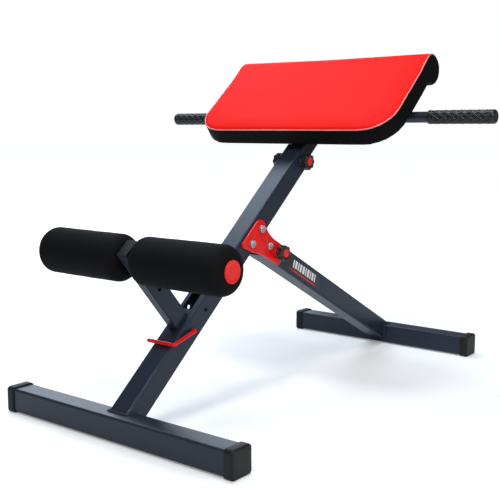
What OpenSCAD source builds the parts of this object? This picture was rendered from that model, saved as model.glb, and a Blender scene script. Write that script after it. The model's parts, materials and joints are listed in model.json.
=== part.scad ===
// Folding roman chair (back extension bench): an inclined main tube on a front foot, a rear leg that
// folds under it between two side plates, a sliding pad carriage with a handlebar, and two foam
// rollers on an arm that stands in one of three slots.
// X is the width, +Y points to the rear foot and +Z up. The origin is on the floor, midway between
// the feet. Sizes are in millimetres.

/* [Base] */
// Distance between the centre lines of the two feet
foot_spacing = 1024; // [960:4:1080]
// Length of the front foot over its caps
front_foot_len = 620; // [520:10:700]
// Length of the rear foot over its caps
rear_foot_len = 550; // [480:10:640]
// Side of every square frame tube
tube_w = 50; // [50:1:52]
// Wall of the frame tubes
tube_wall = 2; // [1.5:0.5:3]
// Outside size of a foot cap
cap_w = 56; // [55:1:58]
// Length of a foot cap along the foot
cap_len = 21; // [16:1:40]

/* [Main tube] */
// Angle of the main tube above the floor
tilt = 40.5; // [40:0.5:41]
// Length of the main tube's top face
main_len = 778; // [770:1:790]
// Distance along the main tube between two arm slots
slot_pitch = 56; // [52:1:60]
// Distance along the main tube to the lowest arm slot
slot_s = 232; // [225:1:245]

/* [Side plates] */
// Thickness of a side plate
plate_t = 5; // [4:0.5:6]
// How much the left side plate is cut back all round
left_plate_inset = 4; // [0:0.5:6]
// Diameter of the plate bolts and the pivot bolt
bolt_d = 10; // [8:1:10]
// Distance along the main tube to the leg's pivot
pivot_s = 523; // [515:1:530]

/* [Pad] */
// Width of the pad
pad_w = 555; // [480:5:560]
// Distance along the main tube to the pad's lower edge
pad_s = 762; // [755:1:770]
// Length of the flat part of the pad
pad_len = 255; // [220:1:280]
// Height of the pad's face above the main tube's top face
pad_top = 63.5; // [56:0.5:66]
// Radius of the roll at the pad's upper end
nose_r = 37; // [28:0.5:40]
// Radius of the pad's two lower corners
pad_corner = 76; // [40:1:100]

/* [Handlebar] */
// Length of the handlebar over its grips
bar_len = 924; // [800:2:960]
// Diameter of the handlebar tube
bar_d = 25; // [22:1:28]
// Diameter of a grip
grip_d = 31; // [30:0.5:36]
// Length of a grip
grip_len = 157; // [110:1:170]

/* [Rollers] */
// Diameter of a foam roller
foam_d = 96; // [80:1:100]
// Distance from the middle to a roller's outer end
foam_end = 244; // [220:1:270]
// Height of the roller axle above the main tube's top face
axle_n = 189; // [150:1:200]
// Width of the roller arm
arm_w = 25; // [22:1:30]
// Depth of the roller arm along the main tube
arm_l = 42; // [36:1:43]

/* [Knobs and pin] */
// Diameter of a clamping knob over its lobes
knob_d = 39; // [34:1:42]
// Diameter of the red locking pin
pin_d = 8; // [7:0.5:10]

/* [Hidden] */
$fn = 48;

steel = [0.16, 0.18, 0.23];
black = [0.06, 0.06, 0.07];
red = [0.80, 0.05, 0.05];
zinc = [0.72, 0.72, 0.74];

corner_r = 5;                      // outside corner of the frame tubes
cap_wall = (cap_w - tube_w) / 2;   // rubber under and around a foot tube
foot_z = cap_w / 2;                // height of both foot axes
foot_top = foot_z + tube_w / 2;
front_y = -foot_spacing / 2;
rear_y = foot_spacing / 2;
half = tube_w / 2;
bead = 3.5;                        // leg of a weld bead
cope_in = 16;                      // how far a coped tube reaches over the middle of its foot
slip = 0.5;                        // gap between parts that move past each other

// The main tube's own frame: y runs up along its top face, z stands square to that face.
tube_base = [0, front_y, foot_top + 1];

// Side plates, their bolts and the leg's pivot, in the main tube's frame
spacer_t = 1;
plate_in = half + spacer_t;
plate_out = plate_in + plate_t;
bolts = [[pivot_s + 4.5, -half], [pivot_s - 41.5, -half]];
pivot_n = -tube_w - half - slip;
pivot = tube_base + [0, pivot_s * cos(tilt) - pivot_n * sin(tilt),
                     pivot_s * sin(tilt) + pivot_n * cos(tilt)];
leg_tilt = atan((pivot[2] - foot_z) / (rear_y - pivot[1]));
leg_len = norm([rear_y - pivot[1], pivot[2] - foot_z]);
leg_turn = tilt + leg_tilt;
head_d = 17;
head_h = 8;
nut_d = 18;
nut_h = 8;
lock_u = 43;                       // the lock knob's distance down the leg from the pivot
washer_d = 24;
fit = 0.05;                        // radial clearance of a running fit

// Carriage: a square tube inside the main tube
inner_w = 40;
inner_top = -(tube_w - inner_w) / 2;
inner_s0 = 562;
inner_s1 = 950;
bar_s = 889;
bar_n = -8;
slider_len = 26;
guide_gap = 0.3;                   // play of the sliding tube in its plastic guides
collar_s0 = 730;
collar_flange = 6;
board_t = 12;
pad_bottom = 14;
board_in = 8;
bracket_l = 40;
bracket_t = 3;
bracket_w = 320;
bracket_lower_s = 794;
bracket_upper_s = 908;
screw_x = 135;

// Roller arm
arm_top = axle_n + 30;
arm_bottom = -tube_w + tube_wall + guide_gap;
axle_d = 16;
axle_len = 2 * foam_end - 12;
core_d = 24;
foam_in = arm_w / 2 + 5;
foam_round = 22;
roller_cap_d = 43;
slot_l = arm_l + 2 * slip;
slot_w = arm_w + 2 * slip;

knob_s = 750;
knob_h = 15;
boss_h = 4;
boss_d = 18;
stud_d = 8;
pin_hole_d = pin_d + 1.5;
pin_x = half + 8;
pin_end = 40;
pin_cross = [slot_s - 62, pin_d / 2 + 1];  // where the pin's upper leg crosses the main tube

module on_tube() {
    translate(tube_base) rotate([tilt, 0, 0]) children();
}

module on_leg() {
    translate(pivot) rotate([-leg_tilt, 0, 0]) children();
}

// Turns a shape drawn upwards so that it points along +X
module along_x() {
    rotate([0, 90, 0]) children();
}

// Turns a shape drawn upwards so that it points along +Y
module along_y() {
    rotate([-90, 0, 0]) children();
}

module rod_x(d, x0, x1) {
    translate([x0, 0, 0]) along_x() cylinder(d = d, h = x1 - x0);
}

module rounded_rect(w, h, r) {
    square([w - 2 * r, h], center = true);
    square([w, h - 2 * r], center = true);
    for (x = [-1, 1], y = [-1, 1])
        translate([x * (w / 2 - r), y * (h / 2 - r)]) circle(r);
}

module bar_section(w, r, len) {
    linear_extrude(len) rounded_rect(w, w, r);
}

module tube_section(w, wall, r, len) {
    linear_extrude(len) difference() {
        rounded_rect(w, w, r);
        rounded_rect(w - 2 * wall, w - 2 * wall, r - wall);
    }
}

// Mirrors its children to the left side when side is -1
module on_side(side) {
    mirror([side < 0 ? 1 : 0, 0, 0]) children();
}

// ---------------------------------------------------------------- feet
module foot_tube(y, len) {
    translate([-len / 2 + cap_wall, y, foot_z])
        along_x() tube_section(tube_w, tube_wall, corner_r, len - 2 * cap_wall);
}

// The space that a foot fills at its middle, grown by g on every side
module foot_block(y, g = 0) {
    translate([0, y, foot_z]) cube([2 * tube_w, tube_w + 2 * g, tube_w + 2 * g], center = true);
}

module foot_cap(y, len, side) {
    bevel = 3;
    on_side(side) translate([len / 2 - cap_len, y, foot_z]) difference() {
        intersection() {
            along_x() bar_section(cap_w, 9, cap_len);
            for (turn = [0, 90]) rotate([turn, 0, 0]) linear_extrude(2 * cap_w, center = true)
                polygon([[0, -cap_w / 2], [cap_len - bevel, -cap_w / 2],
                         [cap_len, -cap_w / 2 + bevel], [cap_len, cap_w / 2 - bevel],
                         [cap_len - bevel, cap_w / 2], [0, cap_w / 2]]);
        }
        translate([-1, 0, 0]) along_x() bar_section(tube_w, corner_r, cap_len - cap_wall + 1);
    }
}

module front_foot_tube() color(steel) foot_tube(front_y, front_foot_len);
module rear_foot_tube() color(steel) foot_tube(rear_y, rear_foot_len);
module front_cap_left() color(black) foot_cap(front_y, front_foot_len, -1);
module front_cap_right() color(black) foot_cap(front_y, front_foot_len, 1);
module rear_cap_left() color(black) foot_cap(rear_y, rear_foot_len, -1);
module rear_cap_right() color(black) foot_cap(rear_y, rear_foot_len, 1);

// ----------------------------------------------------------- main tube
module main_prism(w, r, s0, s1) {
    on_tube() translate([0, s0, -half]) along_y() bar_section(w, r, s1 - s0);
}

// The main tube is coped over the front foot: it stands on the foot's top and laps its rear face.
module main_tube() color(steel) difference() {
    on_tube() difference() {
        translate([0, -30, -half]) along_y()
            tube_section(tube_w, tube_wall, corner_r, main_len + 30);
        for (i = [0 : 2]) {
            translate([0, slot_s + i * slot_pitch, 0]) cube([slot_w, slot_l, tube_w / 2], center = true);
            translate([0, slot_s + i * slot_pitch, -half]) rod_x(pin_hole_d, -tube_w, tube_w);
        }
        for (b = bolts) translate([0, b[0], b[1]]) rod_x(bolt_d, -tube_w, tube_w);
        translate([0, knob_s, -half]) rod_x(stud_d + 2 * fit, -tube_w, tube_w);
    }
    translate([-tube_w, front_y - 100 + half, -100]) cube([2 * tube_w, 100, 100 + foot_top]);
}

module front_foot_weld() color(steel) difference() {
    intersection() {
        main_prism(tube_w + 2 * bead, corner_r + bead, -60, 100);
        foot_block(front_y, bead);
    }
    main_prism(tube_w, corner_r, -70, 110);
    foot_block(front_y);
    translate([-tube_w, front_y - 100 - cope_in, 0]) cube([2 * tube_w, 100, 2 * tube_w]);
    translate([-tube_w, front_y - tube_w, -tube_w]) cube([2 * tube_w, 2 * tube_w, tube_w + cap_wall]);
}

// ------------------------------------------------------------ rear leg
module leg_prism(w, r, u0, u1) {
    on_leg() translate([0, u0, 0]) along_y() bar_section(w, r, u1 - u0);
}

module rear_leg_tube() color(steel) difference() {
    on_leg() difference() {
        union() {
            along_y() tube_section(tube_w, tube_wall, corner_r, leg_len + 40);
            difference() {
                for (side = [-1, 1]) on_side(side) rod_x(tube_w, half - tube_wall, half);
                translate([0, half, 0]) cube([2 * tube_w, tube_w, 2 * tube_w], center = true);
            }
        }
        rod_x(bolt_d + 4, -tube_w, tube_w);
    }
    translate([-tube_w, rear_y - half, -100]) cube([2 * tube_w, 200, 100 + foot_top]);
}

module rear_foot_weld() color(steel) difference() {
    intersection() {
        leg_prism(tube_w + 2 * bead, corner_r + bead, leg_len - 90, leg_len + 60);
        foot_block(rear_y, bead);
    }
    leg_prism(tube_w, corner_r, leg_len - 100, leg_len + 70);
    foot_block(rear_y);
    translate([-tube_w, rear_y + cope_in, 0]) cube([2 * tube_w, 100, 2 * tube_w]);
    translate([-tube_w, rear_y - tube_w, -tube_w]) cube([2 * tube_w, 2 * tube_w, tube_w + cap_wall]);
}

module pivot_bush() color(zinc) on_leg() difference() {
    rod_x(bolt_d + 4, -half, half);
    rod_x(bolt_d + 2 * fit, -tube_w, tube_w);
}

module leg_sticker(side) {
    film = 0.3;
    on_leg() on_side(side) translate([half, 0, 0]) rotate([90, 0, 90]) linear_extrude(film)
        polygon([[92, -17], [262, -17], [238, 17], [92, 17]]);
}

module leg_sticker_left() color(black) leg_sticker(-1);
module leg_sticker_right() color(black) leg_sticker(1);

// --------------------------------------------------------- side plates
// A point u down the leg and v above its middle, in the main tube's frame
function on_leg_point(u, v) =
    [pivot_s + u * cos(leg_turn) + v * sin(leg_turn), pivot_n - u * sin(leg_turn) + v * cos(leg_turn)];

module plate_outline() {
    lobe_r = 20;
    corner = 7;
    hollow_r = 20;
    offset(r = corner) offset(delta = -corner) offset(r = -hollow_r) offset(delta = hollow_r) {
        translate(bolts[0]) circle(lobe_r);
        polygon([
            [pivot_s - 71, -5], bolts[0] + [0, lobe_r], [pivot_s + 21, -36], [pivot_s + 21, -58],
            on_leg_point(12, 22), on_leg_point(lock_u + 19, 22), on_leg_point(lock_u + 19, -26),
            on_leg_point(-6, -27), [pivot_s - 50, -44]
        ]);
    }
}

module side_plate(side) {
    lock = on_leg_point(lock_u, 0);
    on_tube() on_side(side) difference() {
        translate([plate_in, 0, 0]) rotate([90, 0, 90]) linear_extrude(plate_t)
            offset(delta = side < 0 ? -left_plate_inset : 0) plate_outline();
        for (b = bolts) translate([0, b[0], b[1]]) rod_x(bolt_d, 0, tube_w);
        translate([0, pivot_s, pivot_n]) rod_x(bolt_d, 0, tube_w);
        translate([0, lock[0], lock[1]]) rod_x(stud_d + 2 * fit, 0, tube_w);
    }
}

module side_plate_left() color(red) side_plate(-1);
module side_plate_right() color(red) side_plate(1);

// Washers that hold the plates off the main tube and leave the leg free to turn
module plate_spacers() color(zinc) on_tube() for (side = [-1, 1]) on_side(side) {
    for (b = bolts) translate([0, b[0], b[1]]) difference() {
        rod_x(washer_d, half, plate_in);
        rod_x(bolt_d, 0, tube_w);
    }
    translate([0, pivot_s, pivot_n]) difference() {
        rod_x(washer_d, half + slip, plate_in);
        rod_x(bolt_d, 0, tube_w);
    }
}

module cap_screw() {
    difference() {
        union() {
            rod_x(bolt_d, -plate_out - nut_h - 2, plate_out);
            rod_x(head_d, plate_out, plate_out + head_h);
        }
        translate([plate_out + head_h - 4, 0, 0]) along_x() cylinder(d = 9, h = 5, $fn = 6);
    }
}

module hex_nut() {
    translate([-plate_out - nut_h, 0, 0]) difference() {
        along_x() cylinder(d = nut_d, h = nut_h, $fn = 6);
        rod_x(bolt_d, -1, nut_h + 1);
    }
}

module plate_bolts() color(zinc) on_tube() for (b = bolts) translate([0, b[0], b[1]]) cap_screw();
module plate_nuts() color(zinc) on_tube() for (b = bolts) translate([0, b[0], b[1]]) hex_nut();
module pivot_bolt() color(zinc) on_leg() cap_screw();
module pivot_nut() color(zinc) on_leg() hex_nut();

// Threaded boss welded to the outside of a plate or of the main tube
module boss(x0) {
    difference() {
        rod_x(boss_d, x0, x0 + boss_h);
        rod_x(stud_d + 2 * fit, x0 - 1, x0 + boss_h + 1);
    }
}

module lock_nut() color(zinc) on_leg() translate([0, lock_u, 0]) boss(plate_out);

module knob_bosses() color(zinc) on_tube() translate([0, knob_s, -half])
    for (side = [-1, 1]) on_side(side) boss(half);

// ---------------------------------------------------------------- knobs
// A knob with eight lobes, whose hub faces the boss and whose insert fills the recess in its face
module knob_body(x0) {
    hub_h = 4;
    lobe_r = 5;
    translate([x0, 0, 0]) difference() {
        union() {
            rod_x(22, 0, hub_h);
            translate([hub_h, 0, 0]) along_x() linear_extrude(knob_h) {
                circle(d = knob_d - 3);
                for (a = [0 : 45 : 315]) rotate(a) translate([knob_d / 2 - lobe_r, 0]) circle(lobe_r);
            }
        }
        rod_x(stud_d, -1, hub_h + 8);
        rod_x(19, hub_h + knob_h - 2, hub_h + knob_h + 1);
    }
}

module knob_insert(x0) {
    translate([x0, 0, 0]) rod_x(19, 4 + knob_h - 2, 4 + knob_h + 0.6);
}

lock_x = plate_out + boss_h + slip;
pad_knob_x = half + boss_h + slip;
module at_lock() {
    on_leg() translate([0, lock_u, 0]) children();
}
module at_pad_knob(side) {
    on_tube() translate([0, knob_s, -half]) on_side(side) children();
}

module lock_knob() color(black) at_lock() knob_body(lock_x);
module lock_knob_insert() color(red) at_lock() knob_insert(lock_x);
module lock_knob_stud() color(zinc) at_lock() rod_x(stud_d, half + slip, lock_x + 12);
module pad_knob_left() color(black) at_pad_knob(-1) knob_body(pad_knob_x);
module pad_knob_left_insert() color(red) at_pad_knob(-1) knob_insert(pad_knob_x);
module pad_knob_left_stud() color(zinc) at_pad_knob(-1)
    rod_x(stud_d, inner_w / 2 + slip, pad_knob_x + 12);
module pad_knob_right() color(black) at_pad_knob(1) knob_body(pad_knob_x);
module pad_knob_right_insert() color(red) at_pad_knob(1) knob_insert(pad_knob_x);
module pad_knob_right_stud() color(zinc) at_pad_knob(1)
    rod_x(stud_d, inner_w / 2 + slip, pad_knob_x + 12);

// --------------------------------------------------------- pad carriage
// Plastic guide pressed into the main tube's mouth; the carriage tube slides through it.
module tube_collar() color(black) on_tube() translate([0, 0, -half]) difference() {
    union() {
        translate([0, collar_s0, 0]) along_y()
            bar_section(tube_w - 2 * tube_wall, corner_r - tube_wall, main_len - collar_s0);
        translate([0, main_len, 0]) along_y() bar_section(tube_w, corner_r, collar_flange);
    }
    translate([0, collar_s0 - 1, 0]) along_y()
        bar_section(inner_w + 2 * guide_gap, 4 + guide_gap, main_len + collar_flange - collar_s0 + 2);
    translate([0, knob_s, 0]) rod_x(stud_d + 2 * fit, -tube_w, tube_w);
}

module carriage_tube() color(black) on_tube() difference() {
    translate([0, inner_s0, -half]) along_y() tube_section(inner_w, 2, 4, inner_s1 - inner_s0);
    translate([0, bar_s, bar_n]) rod_x(bar_d, -tube_w, tube_w);
}

// Nylon block on the carriage tube's lower end; it meets the collar at the top of the travel.
module carriage_slider() color(black) on_tube() translate([0, inner_s0 - 3, -half]) difference() {
    along_y() bar_section(tube_w - 2 * (tube_wall + guide_gap), 3, slider_len);
    translate([0, 3, 0]) along_y() bar_section(inner_w, 4, slider_len);
    translate([0, -1, 0]) along_y() bar_section(inner_w - 10, 3, slider_len);
}

module carriage_end_cap() color(black) on_tube() translate([0, inner_s1, -half]) union() {
    along_y() bar_section(inner_w, 4, 3);
    translate([0, -12, 0]) along_y() bar_section(inner_w - 4, 2, 12);
}

// Folded steel channel, open side down, welded across the carriage tube under the board
module pad_bracket(s0) {
    height = pad_bottom - inner_top;
    on_tube() translate([0, s0 + bracket_l / 2, inner_top]) difference() {
        translate([-bracket_w / 2, -bracket_l / 2, 0]) cube([bracket_w, bracket_l, height]);
        translate([-bracket_w, bracket_t - bracket_l / 2, -bracket_t])
            cube([2 * bracket_w, bracket_l - 2 * bracket_t, height]);
        for (side = [-1, 1]) translate([side * screw_x, 0, 0]) cylinder(d = 6, h = 2 * height);
    }
}

module pad_bracket_lower() color(black) pad_bracket(bracket_lower_s);
module pad_bracket_upper() color(black) pad_bracket(bracket_upper_s);

module pad_screws() color(zinc) on_tube()
    for (s0 = [bracket_lower_s, bracket_upper_s], side = [-1, 1])
        translate([side * screw_x, s0 + bracket_l / 2, pad_bottom - bracket_t]) {
            cylinder(d = 6, h = bracket_t + board_t - 2);
            translate([0, 0, -4]) cylinder(d = 13, h = 4);
        }

module handlebar() color(black) on_tube() translate([0, bar_s, bar_n]) difference() {
    rod_x(bar_d, -bar_len / 2 + 5, bar_len / 2 - 5);
    rod_x(bar_d - 4, -bar_len, bar_len);
}

module bar_weld() color(black) on_tube() difference() {
    for (side = [-1, 1]) on_side(side) translate([0, bar_s, bar_n])
        rod_x(bar_d + 6, inner_w / 2, inner_w / 2 + 3);
    translate([0, bar_s, bar_n]) rod_x(bar_d, -tube_w, tube_w);
    translate([-tube_w, bar_s - tube_w, bar_n]) cube(2 * tube_w);
}

module grip(side) {
    round_r = 5;
    on_tube() on_side(side) translate([bar_len / 2 - grip_len, bar_s, bar_n]) along_x() difference() {
        rotate_extrude() {
            square([grip_d / 2 - round_r, grip_len]);
            square([grip_d / 2, grip_len - round_r]);
            translate([grip_d / 2 - round_r, grip_len - round_r]) circle(round_r);
        }
        translate([0, 0, -1]) cylinder(d = bar_d, h = grip_len - 4);
    }
}

module grip_left() color(black) grip(-1);
module grip_right() color(black) grip(1);

// Outline of the pad with two round lower corners, drawn from its lower edge
module pad_outline(inset, len) {
    w = pad_w / 2 - inset;
    r = pad_corner - inset;
    translate([0, inset]) {
        translate([-w, r]) square([2 * w, len - inset - r]);
        translate([r - w, 0]) square([2 * (w - r), r + 1]);
        for (side = [-1, 1]) translate([side * (w - r), r]) circle(r);
    }
}

module board_shape() {
    translate([0, pad_s, pad_bottom]) linear_extrude(board_t) pad_outline(board_in, pad_len);
}

module pad_board() color([0.55, 0.42, 0.28]) on_tube() difference() {
    board_shape();
    for (s0 = [bracket_lower_s, bracket_upper_s], side = [-1, 1])
        translate([side * screw_x, s0 + bracket_l / 2, 0]) cylinder(d = 6, h = pad_bottom + board_t - 2);
}

// The cushion covers the board's face and edges, and its upper end rolls over.
module pad_cushion() color(red) on_tube() difference() {
    union() {
        translate([0, pad_s, pad_bottom]) linear_extrude(pad_top - pad_bottom)
            pad_outline(0, pad_len);
        translate([0, pad_s + pad_len, pad_top - nose_r]) rod_x(2 * nose_r, -pad_w / 2, pad_w / 2);
    }
    board_shape();
}

// -------------------------------------------------------------- rollers
module on_arm() {
    on_tube() translate([0, slot_s, 0]) children();
}

module on_axle(side) {
    on_arm() translate([0, 0, axle_n]) on_side(side) children();
}

module roller_arm() color(steel) on_arm() difference() {
    translate([0, 0, arm_bottom]) linear_extrude(arm_top - arm_bottom) difference() {
        rounded_rect(arm_w, arm_l, 3);
        rounded_rect(arm_w - 4, arm_l - 4, 1);
    }
    for (n = [-half, axle_n - 86]) translate([0, 0, n]) rod_x(pin_hole_d, -tube_w, tube_w);
    translate([0, 0, axle_n]) rod_x(axle_d, -tube_w, tube_w);
}

module arm_end_cap() color(black) on_arm() translate([0, 0, arm_top]) {
    linear_extrude(3) rounded_rect(arm_w, arm_l, 3);
    translate([0, 0, -10]) linear_extrude(10) rounded_rect(arm_w - 4, arm_l - 4, 1);
}

module roller_axle() color(zinc) on_axle(1) rod_x(axle_d, -axle_len / 2, axle_len / 2);

module axle_collars() color(black) for (side = [-1, 1]) on_axle(side) difference() {
    rod_x(core_d + 2, arm_w / 2, foam_in - slip);
    rod_x(axle_d, 0, foam_in);
}

module axle_end_nuts() color(zinc) for (side = [-1, 1]) on_axle(side) difference() {
    rod_x(20, axle_len / 2 - 6.5, axle_len / 2 - 1.5);
    rod_x(axle_d, 0, axle_len);
}

module foam(side) {
    r = foam_d / 2;
    len = foam_end - foam_in;
    on_axle(side) translate([foam_in, 0, 0]) along_x() difference() {
        rotate_extrude() {
            square([r - foam_round, len]);
            translate([0, foam_round]) square([r, len - 2 * foam_round]);
            for (z = [foam_round, len - foam_round]) translate([r - foam_round, z]) circle(foam_round);
        }
        translate([0, 0, -1]) cylinder(d = core_d, h = len + 2);
    }
}

module roller_core(side) {
    on_axle(side) difference() {
        rod_x(core_d, foam_in, foam_end);
        rod_x(axle_d + 2 * fit, 0, foam_end - 13);
        rod_x(core_d - 3, foam_end - 13, foam_end + 1);
    }
}

module roller_cap(side) {
    plug_len = 4;
    on_axle(side) {
        rod_x(roller_cap_d, foam_end, foam_end + 3);
        rod_x(core_d - 3, foam_end - plug_len, foam_end);
    }
}

module foam_left() color(black) foam(-1);
module foam_right() color(black) foam(1);
module roller_core_left() color(zinc) roller_core(-1);
module roller_core_right() color(zinc) roller_core(1);
module roller_cap_left() color(red) roller_cap(-1);
module roller_cap_right() color(red) roller_cap(1);

// ---------------------------------------------------------- locking pin
// A bend of the pin: a part ring in the plane of two legs
module pin_elbow(r, angle) {
    rotate_extrude(angle = angle) translate([r, 0]) circle(d = pin_d);
}

// Bent rod: one leg through the main tube and the arm, a link beside the tube, and an upper leg
// that crosses the tube's top face and keeps the pin from turning.
module locking_pin() {
    r = 6;
    run = [pin_cross[0] - slot_s, pin_cross[1] + half];
    link_len = norm(run);
    color(red) on_tube() translate([0, slot_s, -half])
        rotate([-atan2(run[1], -run[0]), 0, 0]) mirror([0, 1, 0]) {
            rod_x(pin_d, -half - 9, pin_x - r);
            translate([pin_x - r, r, 0]) rotate([0, 0, -90]) pin_elbow(r, 90);
            translate([pin_x, r, 0]) along_y() cylinder(d = pin_d, h = link_len - 2 * r);
            translate([pin_x - r, link_len - r, 0]) pin_elbow(r, 90);
            translate([0, link_len, 0]) rod_x(pin_d, -pin_end, pin_x - r);
        }
}

main_tube();
front_foot_tube();
front_foot_weld();
front_cap_left();
front_cap_right();
side_plate_left();
side_plate_right();
plate_spacers();
plate_bolts();
plate_nuts();
pivot_bolt();
pivot_nut();
lock_nut();
knob_bosses();
tube_collar();
roller_arm();
arm_end_cap();
roller_axle();
axle_collars();
axle_end_nuts();
foam_left();
foam_right();
roller_core_left();
roller_core_right();
roller_cap_left();
roller_cap_right();
locking_pin();
rear_leg_tube();
rear_foot_tube();
rear_foot_weld();
rear_cap_left();
rear_cap_right();
pivot_bush();
leg_sticker_left();
leg_sticker_right();
lock_knob();
lock_knob_insert();
lock_knob_stud();
carriage_tube();
carriage_slider();
carriage_end_cap();
pad_bracket_lower();
pad_bracket_upper();
pad_screws();
handlebar();
bar_weld();
grip_left();
grip_right();
pad_board();
pad_cushion();
pad_knob_left();
pad_knob_left_insert();
pad_knob_left_stud();
pad_knob_right();
pad_knob_right_insert();
pad_knob_right_stud();
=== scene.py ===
import json
import math

import bmesh
import bpy
import numpy as np
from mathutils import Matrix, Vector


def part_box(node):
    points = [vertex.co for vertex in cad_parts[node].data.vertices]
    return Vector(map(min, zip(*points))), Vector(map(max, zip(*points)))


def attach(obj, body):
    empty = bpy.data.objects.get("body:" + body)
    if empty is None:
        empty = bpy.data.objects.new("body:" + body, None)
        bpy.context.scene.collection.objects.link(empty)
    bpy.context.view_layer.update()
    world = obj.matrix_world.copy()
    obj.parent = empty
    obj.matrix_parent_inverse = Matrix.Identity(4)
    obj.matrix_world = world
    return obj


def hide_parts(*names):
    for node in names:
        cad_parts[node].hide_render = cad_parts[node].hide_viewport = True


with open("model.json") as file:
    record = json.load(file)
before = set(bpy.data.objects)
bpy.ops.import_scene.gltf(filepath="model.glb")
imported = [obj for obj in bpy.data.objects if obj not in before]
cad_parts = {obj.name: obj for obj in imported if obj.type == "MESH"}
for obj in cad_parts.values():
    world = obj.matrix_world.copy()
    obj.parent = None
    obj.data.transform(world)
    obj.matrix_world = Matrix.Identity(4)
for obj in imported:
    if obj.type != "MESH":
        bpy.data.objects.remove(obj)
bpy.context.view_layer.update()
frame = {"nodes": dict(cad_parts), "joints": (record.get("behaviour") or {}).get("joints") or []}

# ------------------------------------------------------------------ The studio
# A plain white floor whose glow only the camera sees, stronger further out, in a dim room that the
# camera sees as white. Five square lamps: front, back, overhead, a small one for edges, and right side.
floor_mesh = bpy.data.meshes.new("floor")
floor_mesh.from_pydata([(-30, -30, 0), (30, -30, 0), (30, 30, 0), (-30, 30, 0)], [], [(0, 1, 2, 3)])
floor = bpy.data.objects.new("floor", floor_mesh)
bpy.context.collection.objects.link(floor)
floor_paint = bpy.data.materials.new("white floor")
floor_paint.use_nodes = True
floor_shader = floor_paint.node_tree.nodes["Principled BSDF"]
floor_shader.inputs["Base Color"].default_value = (0.90, 0.90, 0.905, 1)
floor_shader.inputs["Roughness"].default_value = 0.9
floor_shader.inputs["Specular IOR Level"].default_value = 0.1
floor_shader.inputs["Emission Color"].default_value = (1, 1, 1, 1)
floor_mesh.materials.append(floor_paint)
floor_tree = floor_paint.node_tree
floor_place = floor_tree.nodes.new("ShaderNodeTexCoord")
floor_distance = floor_tree.nodes.new("ShaderNodeVectorMath")
floor_distance.operation = "LENGTH"
floor_glow = floor_tree.nodes.new("ShaderNodeMapRange")
floor_glow.inputs["From Min"].default_value = 0.5
floor_glow.inputs["From Max"].default_value = 3.5
floor_glow.inputs["To Min"].default_value = 0.22
floor_glow.inputs["To Max"].default_value = 0.85
floor_tree.links.new(floor_place.outputs["Object"], floor_distance.inputs[0])
floor_tree.links.new(floor_distance.outputs["Value"], floor_glow.inputs["Value"])
floor_ray = floor_tree.nodes.new("ShaderNodeLightPath")
floor_seen = floor_tree.nodes.new("ShaderNodeMath")
floor_seen.operation = "MULTIPLY"
floor_tree.links.new(floor_glow.outputs["Result"], floor_seen.inputs[0])
floor_tree.links.new(floor_ray.outputs["Is Camera Ray"], floor_seen.inputs[1])
floor_tree.links.new(floor_seen.outputs["Value"], floor_shader.inputs["Emission Strength"])


def soft_lamp(name, place, aim, size, watts, light=(1, 1, 1)):
    """A square lamp at a place in metres, turned so that its face points at the aim point."""
    lamp = bpy.data.objects.new(name, bpy.data.lights.new(name, "AREA"))
    lamp.data.shape = "SQUARE"
    lamp.data.size = size
    lamp.data.energy = watts
    lamp.data.color = light
    lamp.location = place
    direction = np.array(aim) - np.array(place)
    lamp.rotation_euler = (math.pi / 2 + math.asin(direction[2] / np.linalg.norm(direction)), 0,
                           math.atan2(-direction[0], direction[1]))
    lamp.visible_camera = False
    bpy.context.collection.objects.link(lamp)


soft_lamp("front lamp", (0.9, -2.0, 2.9), (0, 0, 0.4), 1.5, 46)
soft_lamp("back lamp", (-2.6, 2.2, 1.5), (0, 0, 0.3), 2.2, 34, (0.78, 0.88, 1))
soft_lamp("overhead lamp", (-1.5, 0.4, 2.9), (0, 0.1, 0.4), 1.5, 38, (0.72, 0.85, 1))
soft_lamp("edge lamp", (0.05, -0.15, 3.0), (0, 0, 0.3), 0.5, 26, (0.80, 0.90, 1))
soft_lamp("side lamp", (2.6, -0.5, 1.3), (0, 0, 0.3), 1.3, 18)

world = bpy.data.worlds.new("white room")
world.use_nodes = True
bpy.context.scene.world = world
room = world.node_tree
room_light = room.nodes["Background"]
room_light.inputs["Color"].default_value = (0.93, 0.95, 1, 1)
room_light.inputs["Strength"].default_value = 0.17
seen_room = room.nodes.new("ShaderNodeBackground")
seen_room.inputs["Color"].default_value = (1, 1, 1, 1)
room_ray = room.nodes.new("ShaderNodeLightPath")
room_mix = room.nodes.new("ShaderNodeMixShader")
room.links.new(room_ray.outputs["Is Camera Ray"], room_mix.inputs["Fac"])
room.links.new(room_light.outputs["Background"], room_mix.inputs[1])
room.links.new(seen_room.outputs["Background"], room_mix.inputs[2])
room.links.new(room_mix.outputs["Shader"], room.nodes["World Output"].inputs["Surface"])

# The view: a long lens at sitting height, from the roller end on the lock knob's side
camera = bpy.data.objects.new("camera", bpy.data.cameras.new("camera"))
camera.location = (1.21068, -1.64567, 0.60094)
camera.rotation_euler = (math.radians(90 - 7.95), 0, math.radians(38.08))
camera.data.lens = 63.03
camera.data.shift_x = 0.00365
camera.data.shift_y = 0.0007
bpy.context.collection.objects.link(camera)
bpy.context.scene.camera = camera
bpy.context.scene.view_settings.view_transform = "Standard"

# ------------------------------------------------------------- Square frame tubes
# Main tube, feet, rear leg and roller arm: cold-rolled 50 mm square steel tube, cut and drilled,
# then sprayed with a slate-blue satin powder that cures with a fine orange peel.


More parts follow.
